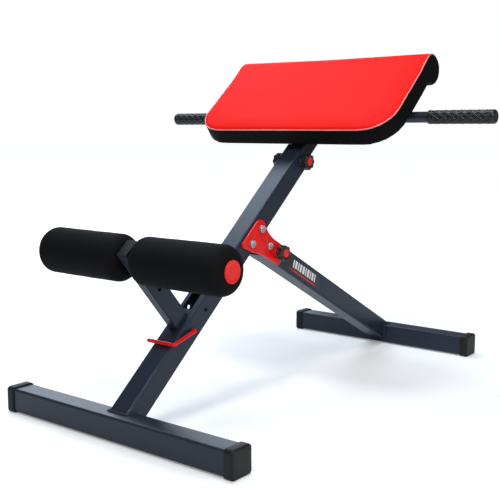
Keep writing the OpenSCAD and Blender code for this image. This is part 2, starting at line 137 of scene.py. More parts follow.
def paint(name, colour, roughness, other=None, patch=6, grain=700, depth=0.00012, metal=0.0,
          specular=0.5, coat=0.0, spread=0.06):
    """A procedural finish. Two shades mix in soft patches, the gloss wanders a little with them, and
    a fine grain lifts the surface. Sizes of patch and grain are in cycles per metre."""
    mat = bpy.data.materials.new(name)
    mat.use_nodes = True
    tree = mat.node_tree
    shader = tree.nodes["Principled BSDF"]
    place = tree.nodes.new("ShaderNodeTexCoord")
    cloud = tree.nodes.new("ShaderNodeTexNoise")
    cloud.inputs["Scale"].default_value = patch
    cloud.inputs["Detail"].default_value = 6
    peel = tree.nodes.new("ShaderNodeTexNoise")
    peel.inputs["Scale"].default_value = grain
    peel.inputs["Detail"].default_value = 3
    shades = tree.nodes.new("ShaderNodeMix")
    shades.data_type = "RGBA"
    shades.inputs["A"].default_value = (*colour, 1)
    shades.inputs["B"].default_value = (*(other or [min(1, c * 1.18 + 0.003) for c in colour]), 1)
    gloss = tree.nodes.new("ShaderNodeMapRange")
    gloss.inputs["To Min"].default_value = roughness - spread
    gloss.inputs["To Max"].default_value = roughness + spread
    bump = tree.nodes.new("ShaderNodeBump")
    bump.inputs["Distance"].default_value = depth
    bump.inputs["Strength"].default_value = 0.6
    for noise in (cloud, peel):
        tree.links.new(place.outputs["Object"], noise.inputs["Vector"])
    tree.links.new(cloud.outputs["Fac"], shades.inputs["Factor"])
    tree.links.new(cloud.outputs["Fac"], gloss.inputs["Value"])
    tree.links.new(peel.outputs["Fac"], bump.inputs["Height"])
    tree.links.new(shades.outputs["Result"], shader.inputs["Base Color"])
    tree.links.new(gloss.outputs["Result"], shader.inputs["Roughness"])
    tree.links.new(bump.outputs["Normal"], shader.inputs["Normal"])
    shader.inputs["Metallic"].default_value = metal
    shader.inputs["Specular IOR Level"].default_value = specular
    shader.inputs["Coat Weight"].default_value = coat
    shader.inputs["Coat Roughness"].default_value = 0.12
    return mat


def recoat(mat, *nodes):
    """Gives pieces that keep their CAD shape a better finish."""
    for name in nodes:
        frame["nodes"][name].data.materials.clear()
        frame["nodes"][name].data.materials.append(mat)


slate_powder = paint("slate powder coat", (0.018, 0.024, 0.041), 0.30, specular=0.27)
recoat(slate_powder, "main_tube", "front_foot_tube", "rear_foot_tube", "rear_leg_tube", "roller_arm")

# Weld beads: a row of small overlapping puddles, run round each coped joint and sprayed with the
# tube. The front foot and the rear foot each have one closed loop.
joints = {joint["name"]: joint for joint in frame["joints"]}
up_tube = np.array(joints["pad_slide"]["axis"])
off_tube = np.array([0, -up_tube[2], up_tube[1]])
foot_low, foot_high = (np.array(corner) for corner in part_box("front_foot_tube"))
rear_low, rear_high = (np.array(corner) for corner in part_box("rear_foot_tube"))
tube_base = np.array([0, (foot_low[1] + foot_high[1]) / 2, foot_high[2] + 0.001])
pivot = np.array(joints["leg_fold"]["pos_m"])
leg_slope = math.atan2(pivot[2] - (rear_low[2] + rear_high[2]) / 2, (rear_low[1] + rear_high[1]) / 2 - pivot[1])
down_leg = np.array([0, math.cos(leg_slope), -math.sin(leg_slope)])
off_leg = np.array([0, math.sin(leg_slope), math.cos(leg_slope)])
tube_half = 0.025


def on_tube(x, s, n):
    """Places millimetres across, up the main tube's top face and off it into the bench's metres."""
    x, s, n = np.broadcast_arrays(*(np.asarray(v, float)[..., None] for v in (x, s, n)))
    return tube_base + (x * [1, 0, 0] + s * up_tube + n * off_tube) / 1000


def on_leg(x, u, v):
    """Places millimetres across, down the leg from its pivot and off its middle into the bench's metres."""
    x, u, v = np.broadcast_arrays(*(np.asarray(w, float)[..., None] for w in (x, u, v)))
    return pivot + (x * [1, 0, 0] + u * down_leg + v * off_leg) / 1000


def make_piece(name, points, faces, body, mat, stands_for=(), sharp=40):
    """Turns points and faces into a shaded piece: doubled points at seams and poles are merged, faces
    turned outwards, and edges steeper than the sharp angle kept crisp. It then rides on its body."""
    mesh = bpy.data.meshes.new(name)
    mesh.from_pydata(points.reshape(-1, 3).tolist(), [], faces.tolist())
    one_point = 2e-7
    work = bmesh.new()
    work.from_mesh(mesh)
    bmesh.ops.remove_doubles(work, verts=work.verts, dist=one_point)
    bmesh.ops.recalc_face_normals(work, faces=work.faces)
    work.to_mesh(mesh)
    work.free()
    mesh.polygons.foreach_set("use_smooth", np.ones(len(mesh.polygons), bool))
    mesh.set_sharp_from_angle(angle=math.radians(sharp))
    mesh.materials.append(mat)
    piece = bpy.data.objects.new(name, mesh)
    bpy.context.collection.objects.link(piece)
    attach(piece, body)
    if stands_for:
        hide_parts(*stands_for)
    return piece


def skin(rows, columns, around=True, ring=False, first=0):
    """Quads between neighbouring points of a rows by columns grid. Around joins the last column to
    the first, and ring the last row to the first."""
    i, j = np.meshgrid(np.arange(rows if ring else rows - 1), np.arange(columns if around else columns - 1),
                       indexing="ij")
    down, right = (i + 1) % rows, (j + 1) % columns
    return first + np.stack([i * columns + j, i * columns + right, down * columns + right,
                             down * columns + j], -1).reshape(-1, 4)


def even_path(corners, step, closed, rounding):
    """Walks a line of straight runs in even steps, and rounds its corners by averaging each point
    with its neighbours over the rounding length."""
    corners = np.asarray(corners, float)
    if closed:
        corners = np.vstack([corners, corners[:1]])
    run = np.r_[0, np.cumsum(np.linalg.norm(np.diff(corners, axis=0), axis=1))]
    count = int(run[-1] / step) + 1
    at = np.linspace(0, run[-1], count, endpoint=not closed)
    path = np.stack([np.interp(at, run, corners[:, k]) for k in range(3)], 1)
    width = max(1, int(rounding / step))
    padded_path = np.pad(path, ((width, width), (0, 0)), "wrap" if closed else "edge")
    if not closed:
        padded_path[:width] = path[0] + (path[0] - path[1]) * np.arange(width, 0, -1)[:, None]
        padded_path[-width:] = path[-1] + (path[-1] - path[-2]) * np.arange(1, width + 1)[:, None]
    kernel = np.ones(2 * width + 1) / (2 * width + 1)
    return np.stack([np.convolve(padded_path[:, k], kernel, "valid") for k in range(3)], 1)


def rod_grid(path, radius, sides, closed=False):
    """Rings of points square to a path. Each ring starts on the side that faces away from the path's
    middle, so the skin doesn't twist, and radius may change from ring to ring."""
    ahead = np.roll(path, -1, 0) - np.roll(path, 1, 0)
    if not closed:
        ahead[0], ahead[-1] = path[1] - path[0], path[-1] - path[-2]
    ahead /= np.linalg.norm(ahead, axis=1)[:, None]
    side = path - path.mean(0)
    side -= ahead * (side * ahead).sum(1)[:, None]
    side /= np.linalg.norm(side, axis=1)[:, None]
    over = np.cross(ahead, side)
    turn = np.linspace(0, 2 * math.pi, sides, endpoint=False)
    radius = np.broadcast_to(radius, (len(path),))
    return path[:, None] + radius[:, None, None] * (np.cos(turn)[None, :, None] * side[:, None]
                                                    + np.sin(turn)[None, :, None] * over[:, None])


def weld(name, corners, body, stands_for, radius=0.0031, closed=True, mat=slate_powder):
    """A bead along a seam, in metres. Its radius swells and sinks with every puddle, and an open
    bead tapers towards its ends."""
    step, turn_length, puddle_length, taper, sides = 0.0004, 0.003, 0.0022, 0.004, 12
    path = even_path(corners, step, closed, turn_length)
    along = np.arange(len(path)) * step
    puddle = np.abs(np.sin(math.pi * along / puddle_length + 0.4 * np.sin(along * 210)))
    size = radius * (0.84 + 0.16 * puddle + 0.05 * np.sin(along * 330))
    if not closed:
        size = size * np.sqrt(np.clip(np.minimum(along, along[::-1]) / taper, 0.02, 1))
    grid = rod_grid(path, size, sides, closed)
    make_piece(name, grid, skin(len(path), sides, ring=closed), body, mat, stands_for, sharp=80)


def coped_loop(foot_top, face_y, line_y, low_z):
    """The seam of a tube that stands on a foot's top and laps one of its faces."""
    w = tube_half
    return [(-w, face_y, low_z), (-w, face_y, foot_top), (-w, line_y, foot_top), (w, line_y, foot_top),
            (w, face_y, foot_top), (w, face_y, low_z)]


front_line = (foot_high[2] - tube_base[2]) / up_tube[2] * up_tube[1] + tube_base[1]
front_low_s = (foot_high[1] - tube_base[1] + 2 * tube_half * off_tube[1]) / up_tube[1]
front_low_z = tube_base[2] + front_low_s * up_tube[2] - 2 * tube_half * off_tube[2]
weld("front_foot_bead", coped_loop(foot_high[2], foot_high[1], front_line, front_low_z), "frame",
     ["front_foot_weld"])
leg_rise = tube_half / math.cos(leg_slope)
rear_line = pivot[1] + (pivot[2] + leg_rise - rear_high[2]) / math.tan(leg_slope)
rear_low_z = pivot[2] - leg_rise - math.tan(leg_slope) * (rear_low[1] - pivot[1])
weld("rear_foot_bead", coped_loop(rear_high[2], rear_low[1], rear_line, rear_low_z), "rear_leg",
     ["rear_foot_weld"])

# Foot caps: black moulded rubber-plastic cups pushed over the ends of both feet. The wall is 3 mm,
# the mouth has a small lip, and the end face is flat inside a rounded edge.
cap_plastic = paint("black moulded plastic", (0.010, 0.010, 0.011), 0.50, grain=1400, depth=0.00006, specular=0.25)


def square_rings(half, corner, count=96):
    """Points round squares with rounded corners. Each quarter turn runs round one corner's arc, and
    the straight sides are the gaps between the arcs."""
    half, corner = (np.asarray(v, float)[:, None] for v in (half, corner))
    quarter = np.repeat(np.arange(4), count // 4)[None]
    turn = np.tile(np.linspace(0, math.pi / 2, count // 4), 4)[None] + quarter * math.pi / 2
    middle = math.pi / 4 + quarter * math.pi / 2
    reach = (half - corner) * math.sqrt(2)
    return np.stack([reach * np.cos(middle) + corner * np.cos(turn),
                     reach * np.sin(middle) + corner * np.sin(turn)], -1)


def span(node):
    """A CAD piece's lowest and highest corners, and its x at the end nearer the bench's middle and
    at the other end, all in millimetres."""
    low, high = (np.array(corner) * 1000 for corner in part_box(node))
    return low, high, *sorted((low[0], high[0]), key=abs)


def foot_cap(name, body):
    """The profile starts inside the mouth, turns over the lip, runs along the outside and rounds off
    to the flat end face, where the rings close on a point."""
    low, high, mouth, end = span(name)
    side = 1 if high[0] > 0 else -1
    half, length = (high[2] - low[2]) / 2, abs(end - mouth)
    wall, edge, outer_corner, smallest = 3, 4, 8, 0.004
    bend = np.linspace(0.2, 1.45, 7)
    face = length - edge + edge * math.sin(bend[-1])
    reach = np.r_[wall, 0.6, 0, 0, 0.6, 2.6, 3.2, length - edge, length - edge + edge * np.sin(bend),
                  face, face, face]
    size = np.r_[half - wall, half - wall, half - 2.4, half - 0.8, half - 0.2, half - 0.2, half, half,
                 half - edge + edge * np.cos(bend), half * 0.6, half * 0.25, 0.01]
    corner = np.clip(outer_corner - (half - size), smallest, outer_corner) * (size > 1) + smallest * (size <= 1)
    rings = square_rings(size, np.minimum(corner, size * 0.99))
    centre = (low + high) / 2
    x = np.broadcast_to((mouth + side * reach)[:, None], rings.shape[:2])
    grid = np.stack([x, centre[1] + rings[..., 0], centre[2] + rings[..., 1]], -1) / 1000
    make_piece(name + "_moulding", grid, skin(*grid.shape[:2]), body, cap_plastic, [name],
               sharp=50)


for cap_side in ("left", "right"):
    foot_cap("front_cap_" + cap_side, "frame")
    foot_cap("rear_cap_" + cap_side, "rear_leg")

# ------------------------------------------------------------------ Side plates
# Two 5 mm steel plates, laser cut, with their edges rounded by tumbling, then sprayed gloss red.
# They are bolted to the main tube and carry the rear leg's pivot between them.


def softened(node, body, mat, width, segments=2, angle=35):
    """A copy of a CAD piece whose sharp edges are rounded: its loose triangles are merged, flat areas
    cleaned, and a small bevel run round every edge steeper than the angle."""
    piece = frame["nodes"][node].copy()
    piece.data = frame["nodes"][node].data.copy()
    piece.name = node + "_finished"
    piece.parent = None
    piece.matrix_world.identity()
    for key in list(piece.keys()):
        del piece[key]
    bpy.context.collection.objects.link(piece)
    one_point, flat_within = 2e-6, math.radians(1)
    work = bmesh.new()
    work.from_mesh(piece.data)
    bmesh.ops.remove_doubles(work, verts=work.verts, dist=one_point)
    bmesh.ops.dissolve_limit(work, angle_limit=flat_within, verts=work.verts, edges=work.edges)
    work.to_mesh(piece.data)
    work.free()
    piece.data.polygons.foreach_set("use_smooth", np.ones(len(piece.data.polygons), bool))
    piece.data.materials.clear()
    piece.data.materials.append(mat)
    rounding = piece.modifiers.new("rounded edges", "BEVEL")
    rounding.width = width
    rounding.segments = segments
    rounding.limit_method = "ANGLE"
    rounding.angle_limit = math.radians(angle)
    rounding.harden_normals = True
    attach(piece, body)
    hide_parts(node)


red_powder = paint("red powder coat", (0.84, 0.006, 0.008), 0.30, (0.90, 0.012, 0.012), grain=520, specular=0.2,
                   coat=0.06)
for plate in ("side_plate_left", "side_plate_right"):
    softened(plate, "frame", red_powder, 0.0008)

# ------------------------------------------------------------ Bolts, nuts, washers
# Zinc-plated socket-head cap screws with knurled heads, hex nuts with turned corners and flat
# washers. Two screws clamp the plates to the main tube and the third is the leg's pivot.
zinc_plate = paint("zinc plate", (0.60, 0.60, 0.62), 0.30, (0.72, 0.72, 0.73), patch=90, grain=1500,
                   depth=0.00003, metal=1.0)


def turned(profile_x, profile_r, turns, origin, shape=None):
    """Points round the X axis: each station has a radius, which shape may bend with the angle."""
    turn = np.linspace(0, 2 * math.pi, turns, endpoint=False)
    radius = np.asarray(profile_r, float)[:, None] * np.ones(turns)
    if shape is not None:
        radius = shape(radius, np.asarray(profile_x, float)[:, None], turn[None])
    x = np.broadcast_to(np.asarray(profile_x, float)[:, None], radius.shape)
    ring = np.stack([x, radius * np.cos(turn), radius * np.sin(turn)], -1) / 1000
    return ring + np.asarray(origin)


def hex_radius(flat, turn):
    """Distance to the side of a hexagon with that half width over its flats."""
    return flat / np.cos(turn % (math.pi / 3) - math.pi / 6)


# Millimetres from the bench's middle to the washer under a head or nut, and to its outer face
face, rim = 31.0, 39.0
bolt_sides = 96


def cap_screw(name, node, body, centre_s, centre_n, on=on_tube):
    """Head outside the right plate: knurled side, chamfered rim, hexagon socket with a drilled floor.
    The shank runs through both plates and ends in a thread past the nut."""
    knurl_depth, knurls, socket_half, socket_start = 0.22, 24, 4.0, 7
    x = np.r_[face, face + 0.01, face + 0.5, rim - 1.2, rim - 0.5, rim, rim, rim - 0.3, rim - 4, rim - 4, rim - 5]
    r = np.r_[0.01, 8.1, 8.5, 8.5, 8.2, 7.3, 5.6, 1, 1, 0.5, 0.01]

    def head_shape(radius, at, turn):
        knurl = knurl_depth * np.abs(np.sin(knurls * turn)) * ((at > face + 0.3) & (at < rim - 1))
        socket = (np.arange(len(radius)) >= socket_start)[:, None] & (radius > 0.7)
        return np.where(socket, hex_radius(socket_half, turn), radius - knurl * (radius > 8.3))

    origin = on(0, centre_s, centre_n)
    head = turned(x, r, bolt_sides, origin, head_shape)
    tip, shank_radius, pitch, thread_depth = -41.6, 5.0, 1.5, 0.75
    thread = np.arange(-40.9, -30.9, 0.18)
    shank_x = np.r_[tip, tip, -41.0, thread, -30.5, face + 0.4, face + 0.4]
    shank_r = np.r_[0.01, 4.0, 4.6, np.full(len(thread), shank_radius), shank_radius, shank_radius, 0.01]

    def thread_shape(radius, at, turn):
        groove = thread_depth * np.abs((at / pitch + turn / (2 * math.pi)) % 1 - 0.5) * 2
        return np.where((at > -41) & (at < -31), radius - groove, radius)

    shank = turned(shank_x, shank_r, bolt_sides, origin, thread_shape)
    faces = np.vstack([skin(*head.shape[:2]), skin(*shank.shape[:2], first=head.shape[0] * bolt_sides)])
    points = np.vstack([head.reshape(-1, 3), shank.reshape(-1, 3)])
    make_piece(name, points, faces, body, zinc_plate, node, sharp=28)


def hex_nut(name, node, body, centre_s, centre_n, on=on_tube):
    """A hexagon whose corners are turned off at both faces, with the bore left open."""
    outer, inner, nut_half = -rim, -face, 7.8
    x = np.r_[outer + 0.8, outer, outer, outer + 1.1, inner - 0.6, inner, inner, outer + 0.8]
    r = np.r_[5.0, 5.6, 7.7, 9.0, 9.0, 8.4, 5.0, 5.0]

    def nut_shape(radius, at, turn):
        return np.where(radius > 8, np.minimum(hex_radius(nut_half, turn), radius), radius)

    grid = turned(x, r, bolt_sides, on(0, centre_s, centre_n), nut_shape)
    make_piece(name, grid, skin(*grid.shape[:2]), body, zinc_plate, node, sharp=28)


bolt_n = -25.0
for spot, bolt_s in (("upper", 527.5), ("lower", 481.5)):
    cap_screw("plate_screw_" + spot, ["plate_bolts"], "frame", bolt_s, bolt_n)
    hex_nut("plate_nut_" + spot, ["plate_nuts"], "frame", bolt_s, bolt_n)
cap_screw("pivot_screw", ["pivot_bolt"], "frame", 0, 0, on_leg)
hex_nut("pivot_nut_turned", ["pivot_nut"], "frame", 0, 0, on_leg)
for washer in ("plate_spacers", "lock_nut", "knob_bosses"):
    softened(washer, "frame", zinc_plate, 0.0003)
softened("pivot_bush", "rear_leg", zinc_plate, 0.0003)
recoat(zinc_plate, "lock_knob_stud", "pad_knob_left_stud", "pad_knob_right_stud", "roller_axle", "axle_end_nuts")

# ------------------------------------------------------------------ Leg sticker
# A printed vinyl film on both sides of the rear leg: black, fading into the steel towards the foot,
# with a set of plain slanted white bars and a red stripe that fades out at both ends.


def film_finish(name, colour, under, gloss):
    """Printed film whose ink gives way to the colour under it as the 'ink' attribute falls to zero."""
    mat = paint(name, colour, gloss, grain=900, depth=0.00002)
    tree = mat.node_tree
    ink = tree.nodes.new("ShaderNodeAttribute")
    ink.attribute_name = "ink"
    fade = tree.nodes.new("ShaderNodeMix")
    fade.data_type = "RGBA"
    fade.inputs["A"].default_value = (*under, 1)
    shader = tree.nodes["Principled BSDF"]
    solid = shader.inputs["Base Color"].links[0].from_socket
    tree.links.new(ink.outputs["Fac"], fade.inputs["Factor"])
    tree.links.new(solid, fade.inputs["B"])
    tree.links.new(fade.outputs["Result"], shader.inputs["Base Color"])
    return mat


film_black = film_finish("black printed film", (0.006, 0.006, 0.007), (0.018, 0.024, 0.041), 0.32)
film_red = film_finish("red printed stripe", (0.50, 0.010, 0.012), (0.006, 0.006, 0.007), 0.34)
film_white = paint("white printed bars", (0.78, 0.78, 0.78), 0.4, grain=900, depth=0.00002)


def vertices_of(mesh):
    """A mesh's points as rows of x, y and z."""
    flat = np.empty(len(mesh.vertices) * 3)
    mesh.vertices.foreach_get("co", flat)
    return flat.reshape(-1, 3)


def flat_print(name, u, v, lift, side, mat, ink, stands_for=()):
    """A thin slab whose face is a grid in the leg's side plane; both faces and the rim are closed.
    Ink is the print's strength at every grid point."""
    steel = 25.005
    outer = on_leg(side * (25.02 + lift), u, v)
    inner = on_leg(side * steel, u, v)
    rows, columns = u.shape
    face = skin(rows, columns, around=False)
    order = np.r_[np.arange(columns), np.arange(1, rows) * columns + columns - 1,
                  (rows - 1) * columns + np.arange(columns - 2, -1, -1), np.arange(rows - 2, 0, -1) * columns]
    rim = np.stack([order, np.roll(order, -1), np.roll(order, -1) + rows * columns, order + rows * columns], 1)
    points = np.concatenate([outer, inner]).reshape(-1, 3)
    piece = make_piece(name, points, np.vstack([face, face[:, ::-1] + rows * columns, rim]), "rear_leg",
                       mat, stands_for, sharp=30)
    strength = piece.data.attributes.new("ink", "FLOAT", "POINT")
    down = (vertices_of(piece.data) - pivot) @ down_leg * 1000
    strength.data.foreach_set("value", ink(down).astype(np.float32))


def ramp(value, low, high):
    """Zero below low, one above high, and a smooth rise between."""
    t = np.clip((value - low) / (high - low), 0, 1)
    return t * t * (3 - 2 * t)


# Millimetres down the leg from its pivot and off its middle line; each bar is a start and a width
film_start, film_length, film_half, film_slant = 92, 170, 17, 24
bar_low, bar_high, bar_slant = -6, 12, 0.18
bars = (122, 5), (131, 9), (144, 5), (153, 9), (166, 9), (179, 5), (188, 9), (201, 5), (210, 9), (223, 5)
stripe_start, stripe_end, stripe_low, stripe_high, stripe_slant = 98, 250, -15, -10.5, 0.4
for side, label in ((1, "right"), (-1, "left")):
    film_u, film_v = np.meshgrid(np.linspace(film_start, film_start + film_length, 69),
                                 np.linspace(-film_half, film_half, 15), indexing="ij")
    film_u = film_u - (film_u - film_start) / film_length * (film_v + film_half) / (2 * film_half) * film_slant
    flat_print("leg_film_" + label, film_u, film_v, 0.22, side, film_black,
               lambda u: 1 - ramp(u, 196, 252), ["leg_sticker_" + label])
    for k, (start, width) in enumerate(bars):
        bar_u, bar_v = np.meshgrid([0.0, width], [bar_low, bar_high], indexing="ij")
        flat_print(f"leg_bar_{label}_{k}", start + bar_u - (bar_v - bar_low) * bar_slant, bar_v, 0.30, side,
                   film_white, np.ones_like)
    stripe_u, stripe_v = np.meshgrid(np.linspace(stripe_start, stripe_end, 77),
                                     np.linspace(stripe_low, stripe_high, 4), indexing="ij")
    flat_print("leg_stripe_" + label, stripe_u - (stripe_v - stripe_low) * stripe_slant, stripe_v, 0.27, side,
               film_red, lambda u: ramp(u, stripe_start, 140) * (1 - ramp(u, 215, stripe_end)))

# ------------------------------------------------------------------------ Knobs
# Clamping knobs: a black nylon moulding with eight finger lobes, a hub on its back, and a red
# button snapped into its face. One locks the leg, two clamp the pad's tube.
knob_nylon = paint("black nylon", (0.011, 0.011, 0.012), 0.36, grain=1100, depth=0.00008)
button_red = paint("red moulded plastic", (0.86, 0.022, 0.014), 0.26, (0.92, 0.030, 0.018), grain=1500, depth=0.00003,
                   specular=0.25)


def round_middle(low, high):
    """The centre line of a round piece that lies along X, in metres with x left at zero."""
    return np.array([0, (low[1] + high[1]) / 2, (low[2] + high[2]) / 2]) / 1000


def knob(node, body, side):
    """Lobes are a cosine round the rim that dies away at the hub and the face; the face is dished."""
    low, high, back, front = span(node)
    radius, height = (high[2] - low[2]) / 2, abs(front - back)
    centre = round_middle(low, high)
    fingers, finger_depth, hub, back_edge, front_edge = 8, 3.0, 4, 2.2, 3
    rounds = np.linspace(0, math.pi / 2, 7)
    x = np.r_[0, 0, 3.6, hub + back_edge - back_edge * np.cos(rounds),
              height - front_edge + front_edge * np.sin(rounds), height - 0.2, height - 1.6, height - 2, height - 2]
    r = np.r_[4.2, 10.4, 11, radius - back_edge + back_edge * np.sin(rounds),
              radius - front_edge + front_edge * np.cos(rounds), 12.5, 9.9, 9.6, 0.01]
    finger_share = np.r_[0, 0, 0, np.linspace(0.5, 1, 7), np.linspace(1, 0.75, 7), 0.1, 0, 0, 0]

    def lobes(ring, at, turn):
        dip = 0.5 - 0.5 * np.cos(fingers * turn)
        return ring - finger_depth * finger_share[:, None] * dip ** 1.5

    grid = turned(side * (abs(back) + x), r, 192, centre, lobes)
    make_piece(node + "_moulding", grid, skin(*grid.shape[:2]), body, knob_nylon, [node], sharp=50)
    top = abs(back) + height
    button_x = np.r_[top - 2, top - 0.1, top + 0.35, top + 0.6, top + 0.5, top + 0.2, top + 0.1, top + 0.35, top + 0.5]
    button_r = np.r_[9.4, 9.4, 9.1, 8.3, 7.3, 6.8, 6.4, 5.6, 0.01]
    button = turned(side * button_x, button_r, 96, centre)
    make_piece(node + "_button", button, skin(*button.shape[:2]), body, button_red,
               [node + "_insert"], sharp=60)


knob("lock_knob", "lock_knob", 1)
knob("pad_knob_left", "pad_knob_left", -1)
knob("pad_knob_right", "pad_knob_right", 1)

# ---------------------------------------------------------------- Pad carriage
# A 40 mm square tube sprayed black slides in a plastic collar in the main tube's mouth. Two folded
# channels are welded across it, and the pad's black-stained plywood board is screwed down on them.
black_powder = paint("black powder coat", (0.009, 0.010, 0.013), 0.34, grain=650, depth=0.0001, specular=0.28)
recoat(black_powder, "carriage_tube")
for bracket in ("pad_bracket_lower", "pad_bracket_upper"):
    softened(bracket, "pad_carriage", black_powder, 0.0012, 3)
softened("tube_collar", "frame", cap_plastic, 0.0006)
softened("carriage_slider", "pad_carriage", cap_plastic, 0.0006)
softened("carriage_end_cap", "pad_carriage", cap_plastic, 0.0010, 3)
softened("pad_screws", "pad_carriage", zinc_plate, 0.0008, 3)

plywood = paint("black stained plywood", (0.022, 0.019, 0.017), 0.62, (0.045, 0.040, 0.036), patch=14, grain=300)
plywood_tree = plywood.node_tree
plywood_veneer = plywood_tree.nodes.new("ShaderNodeMapping")
plywood_veneer.inputs["Scale"].default_value = (0.12, 2.0, 2.0)
plywood_cloud = next(n for n in plywood_tree.nodes if n.type == "TEX_NOISE" and n.inputs["Scale"].default_value < 100)
plywood_cloud.inputs["Distortion"].default_value = 1.2
plywood_tree.links.new(next(n for n in plywood_tree.nodes if n.type == "TEX_COORD").outputs["Object"],
                     plywood_veneer.inputs["Vector"])
plywood_tree.links.new(plywood_veneer.outputs["Vector"], plywood_cloud.inputs["Vector"])
softened("pad_board", "pad_carriage", plywood, 0.0006)

# Handlebar: one 25 mm tube through the carriage tube, welded on both sides and sprayed black.
bar_s, bar_n, bar_radius, bead_x = 889.0, -8.0, 12.5, 20.6
gloss_black = paint("gloss black powder coat", (0.018, 0.022, 0.034), 0.26, grain=500, coat=0.2)
recoat(gloss_black, "handlebar")
for side, label in ((1, "right"), (-1, "left")):
    bend = np.radians(np.linspace(167, 373, 60))
    bead = on_tube(side * bead_x, bar_s + bar_radius * np.cos(bend), bar_n + bar_radius * np.sin(bend))
    weld("bar_bead_" + label, bead, "pad_carriage", ["bar_weld"], 0.0020, False, black_powder)

# Grips: soft black rubber sleeves pushed over the bar's ends. Two sets of slanting grooves cross to
# leave diamonds, the inner end has a plain collar and the outer end is closed and rounded.
grip_rubber = paint("grip rubber", (0.007, 0.007, 0.008), 0.34, (0.010, 0.010, 0.011), patch=40, grain=1300,
                    depth=0.00005, specular=0.5)


def grip(node, side):
    """Groove depth comes from two waves that climb the sleeve in opposite turns; where either wave is
    near its trough the surface sinks."""
    _, _, inner, outer = span(node)
    length, radius, end_round = abs(outer - inner), 15.5, 5
    lead, starts, groove_depth = 20.0, 8, 1.3
    sleeve = np.arange(0, length - end_round, 0.75)[2:]
    rounds = np.linspace(0, math.pi / 2, 8)[1:]
    x = np.r_[1.0, 0.0, 0.0, 0.8, sleeve, length - end_round + end_round * np.sin(rounds), length, length]
    r = np.r_[12.6, 12.7, 15.0, radius, np.full(len(sleeve), radius),
              radius - end_round + end_round * np.cos(rounds), 6, 0.01]

    def diamonds(ring, at, turn):
        climb = np.abs(at) - abs(inner)
        body = ramp(climb, 7, 9) * (1 - ramp(climb, length - 12, length - 9))
        wave = [np.abs((climb / lead + way * starts * turn / (2 * math.pi)) % 1 - 0.5) * 2 for way in (1, -1)]
        rib = np.maximum(*[ramp(w, 0.60, 0.84) for w in wave])
        return ring - groove_depth * body * (1 - rib)

    centre = on_tube(0, bar_s, bar_n)
    grid = turned(side * (abs(inner) + x), r, 224, centre, diamonds)
    make_piece(node + "_sleeve", grid, skin(*grid.shape[:2]), "pad_carriage", grip_rubber, [node],
               sharp=60)


grip("grip_right", 1)
grip("grip_left", -1)

# ---------------------------------------------------------------------- Cushion
# Foam block with a round bolster along its upper edge, pulled tight in red vinyl. A black vinyl
# band is sewn round the sides and the lower edge, and a piped seam joins the two.
# Sizes in millimetres: half width, lower edge, bolster's centre up the tube, top and underside off
# the tube, bolster's radius, radius of the two lower corners, and how far the block starts inside.
cushion_half, cushion_s0, nose_s, top_n, under_n, nose_r, plan_r = 277.5, 762.0, 1017.0, 63.5, 14.0, 37.0, 76.0
nose_n = top_n - nose_r
stuff_in = 0.2


def rim_drop(x, rounding):
    """How far a rounded rim has fallen away at this distance from the middle."""
    over = min(max(abs(x) - (cushion_half - stuff_in - rounding), 0), rounding)
    return rounding - math.sqrt(rounding ** 2 - over ** 2)


def cushion_section(s0, x):
    """One closed section of the block: along the top, round the bolster, back along the underside
    and up a rounded lower edge. Every x has the same number of points."""
    r = nose_r - stuff_in - rim_drop(x, 9.0)
    top, under = top_n - stuff_in - rim_drop(x, 7.0), under_n + 0.6 + rim_drop(x, 6.0)
    low, edge, steps = s0 + stuff_in, 6.5, 40
    end = -math.pi - math.asin((under - nose_n) / r)
    turn = np.linspace(math.pi / 2, end, 50)
    bend = np.linspace(0, math.pi / 2, 7)
    s = np.r_[np.linspace(low + edge, nose_s, steps)[:-1], nose_s + r * np.cos(turn),
              np.linspace(nose_s + r * math.cos(end), low + edge, steps)[1:-1],
              low + edge - edge * np.sin(bend), low, low + edge - edge * np.cos(bend[1:])]
    n = np.r_[np.full(steps - 1, top), nose_n + r * np.sin(turn), np.full(steps - 2, under),
              under + edge - edge * np.cos(bend), (top + under) / 2, top - edge + edge * np.sin(bend[1:])]
    return np.stack([np.full_like(s, x), s, n], 1)


flat_half = cushion_half - plan_r
sweep = np.linspace(0, math.pi / 2, 48)
stations = np.r_[np.linspace(0, flat_half, 12)[:-1], flat_half + (plan_r - stuff_in) * np.sin(sweep)]
starts = np.r_[np.full(11, cushion_s0), cushion_s0 + plan_r - plan_r * np.cos(sweep)]
stations, starts = np.r_[-stations[:0:-1], stations], np.r_[starts[:0:-1], starts]
sections = np.stack([cushion_section(s0, x) for s0, x in zip(starts, stations)])
mids = sections.mean(axis=1, keepdims=True)
sections = np.concatenate([mids[:1] + 0 * sections[:1], sections, mids[-1:] + 0 * sections[-1:]])
cushion_points = on_tube(sections[..., 0], sections[..., 1], sections[..., 2])
pad_vinyl = paint("red vinyl", (0.86, 0.011, 0.009), 0.46, (0.90, 0.016, 0.012), patch=5, grain=900, depth=0.00010,
                  specular=0.03)
cushion = make_piece("pad_upholstery", cushion_points, skin(*cushion_points.shape[:2]), "pad_carriage",
                     pad_vinyl, ["pad_cushion"])
cushion.parent = None
bpy.context.view_layer.objects.active = cushion


def tube_coordinates(points):
    """Millimetres across, up the tube's top face and off it, from points in metres."""
    away = (points - tube_base) * 1000
    return away[:, 0], away @ up_tube, away @ off_tube


def bake_down(obj):
    """Turns the modified shape into the plain mesh."""
    shape = bpy.data.meshes.new_from_object(obj.evaluated_get(bpy.context.evaluated_depsgraph_get()))
    obj.modifiers.clear()
    obj.data = shape


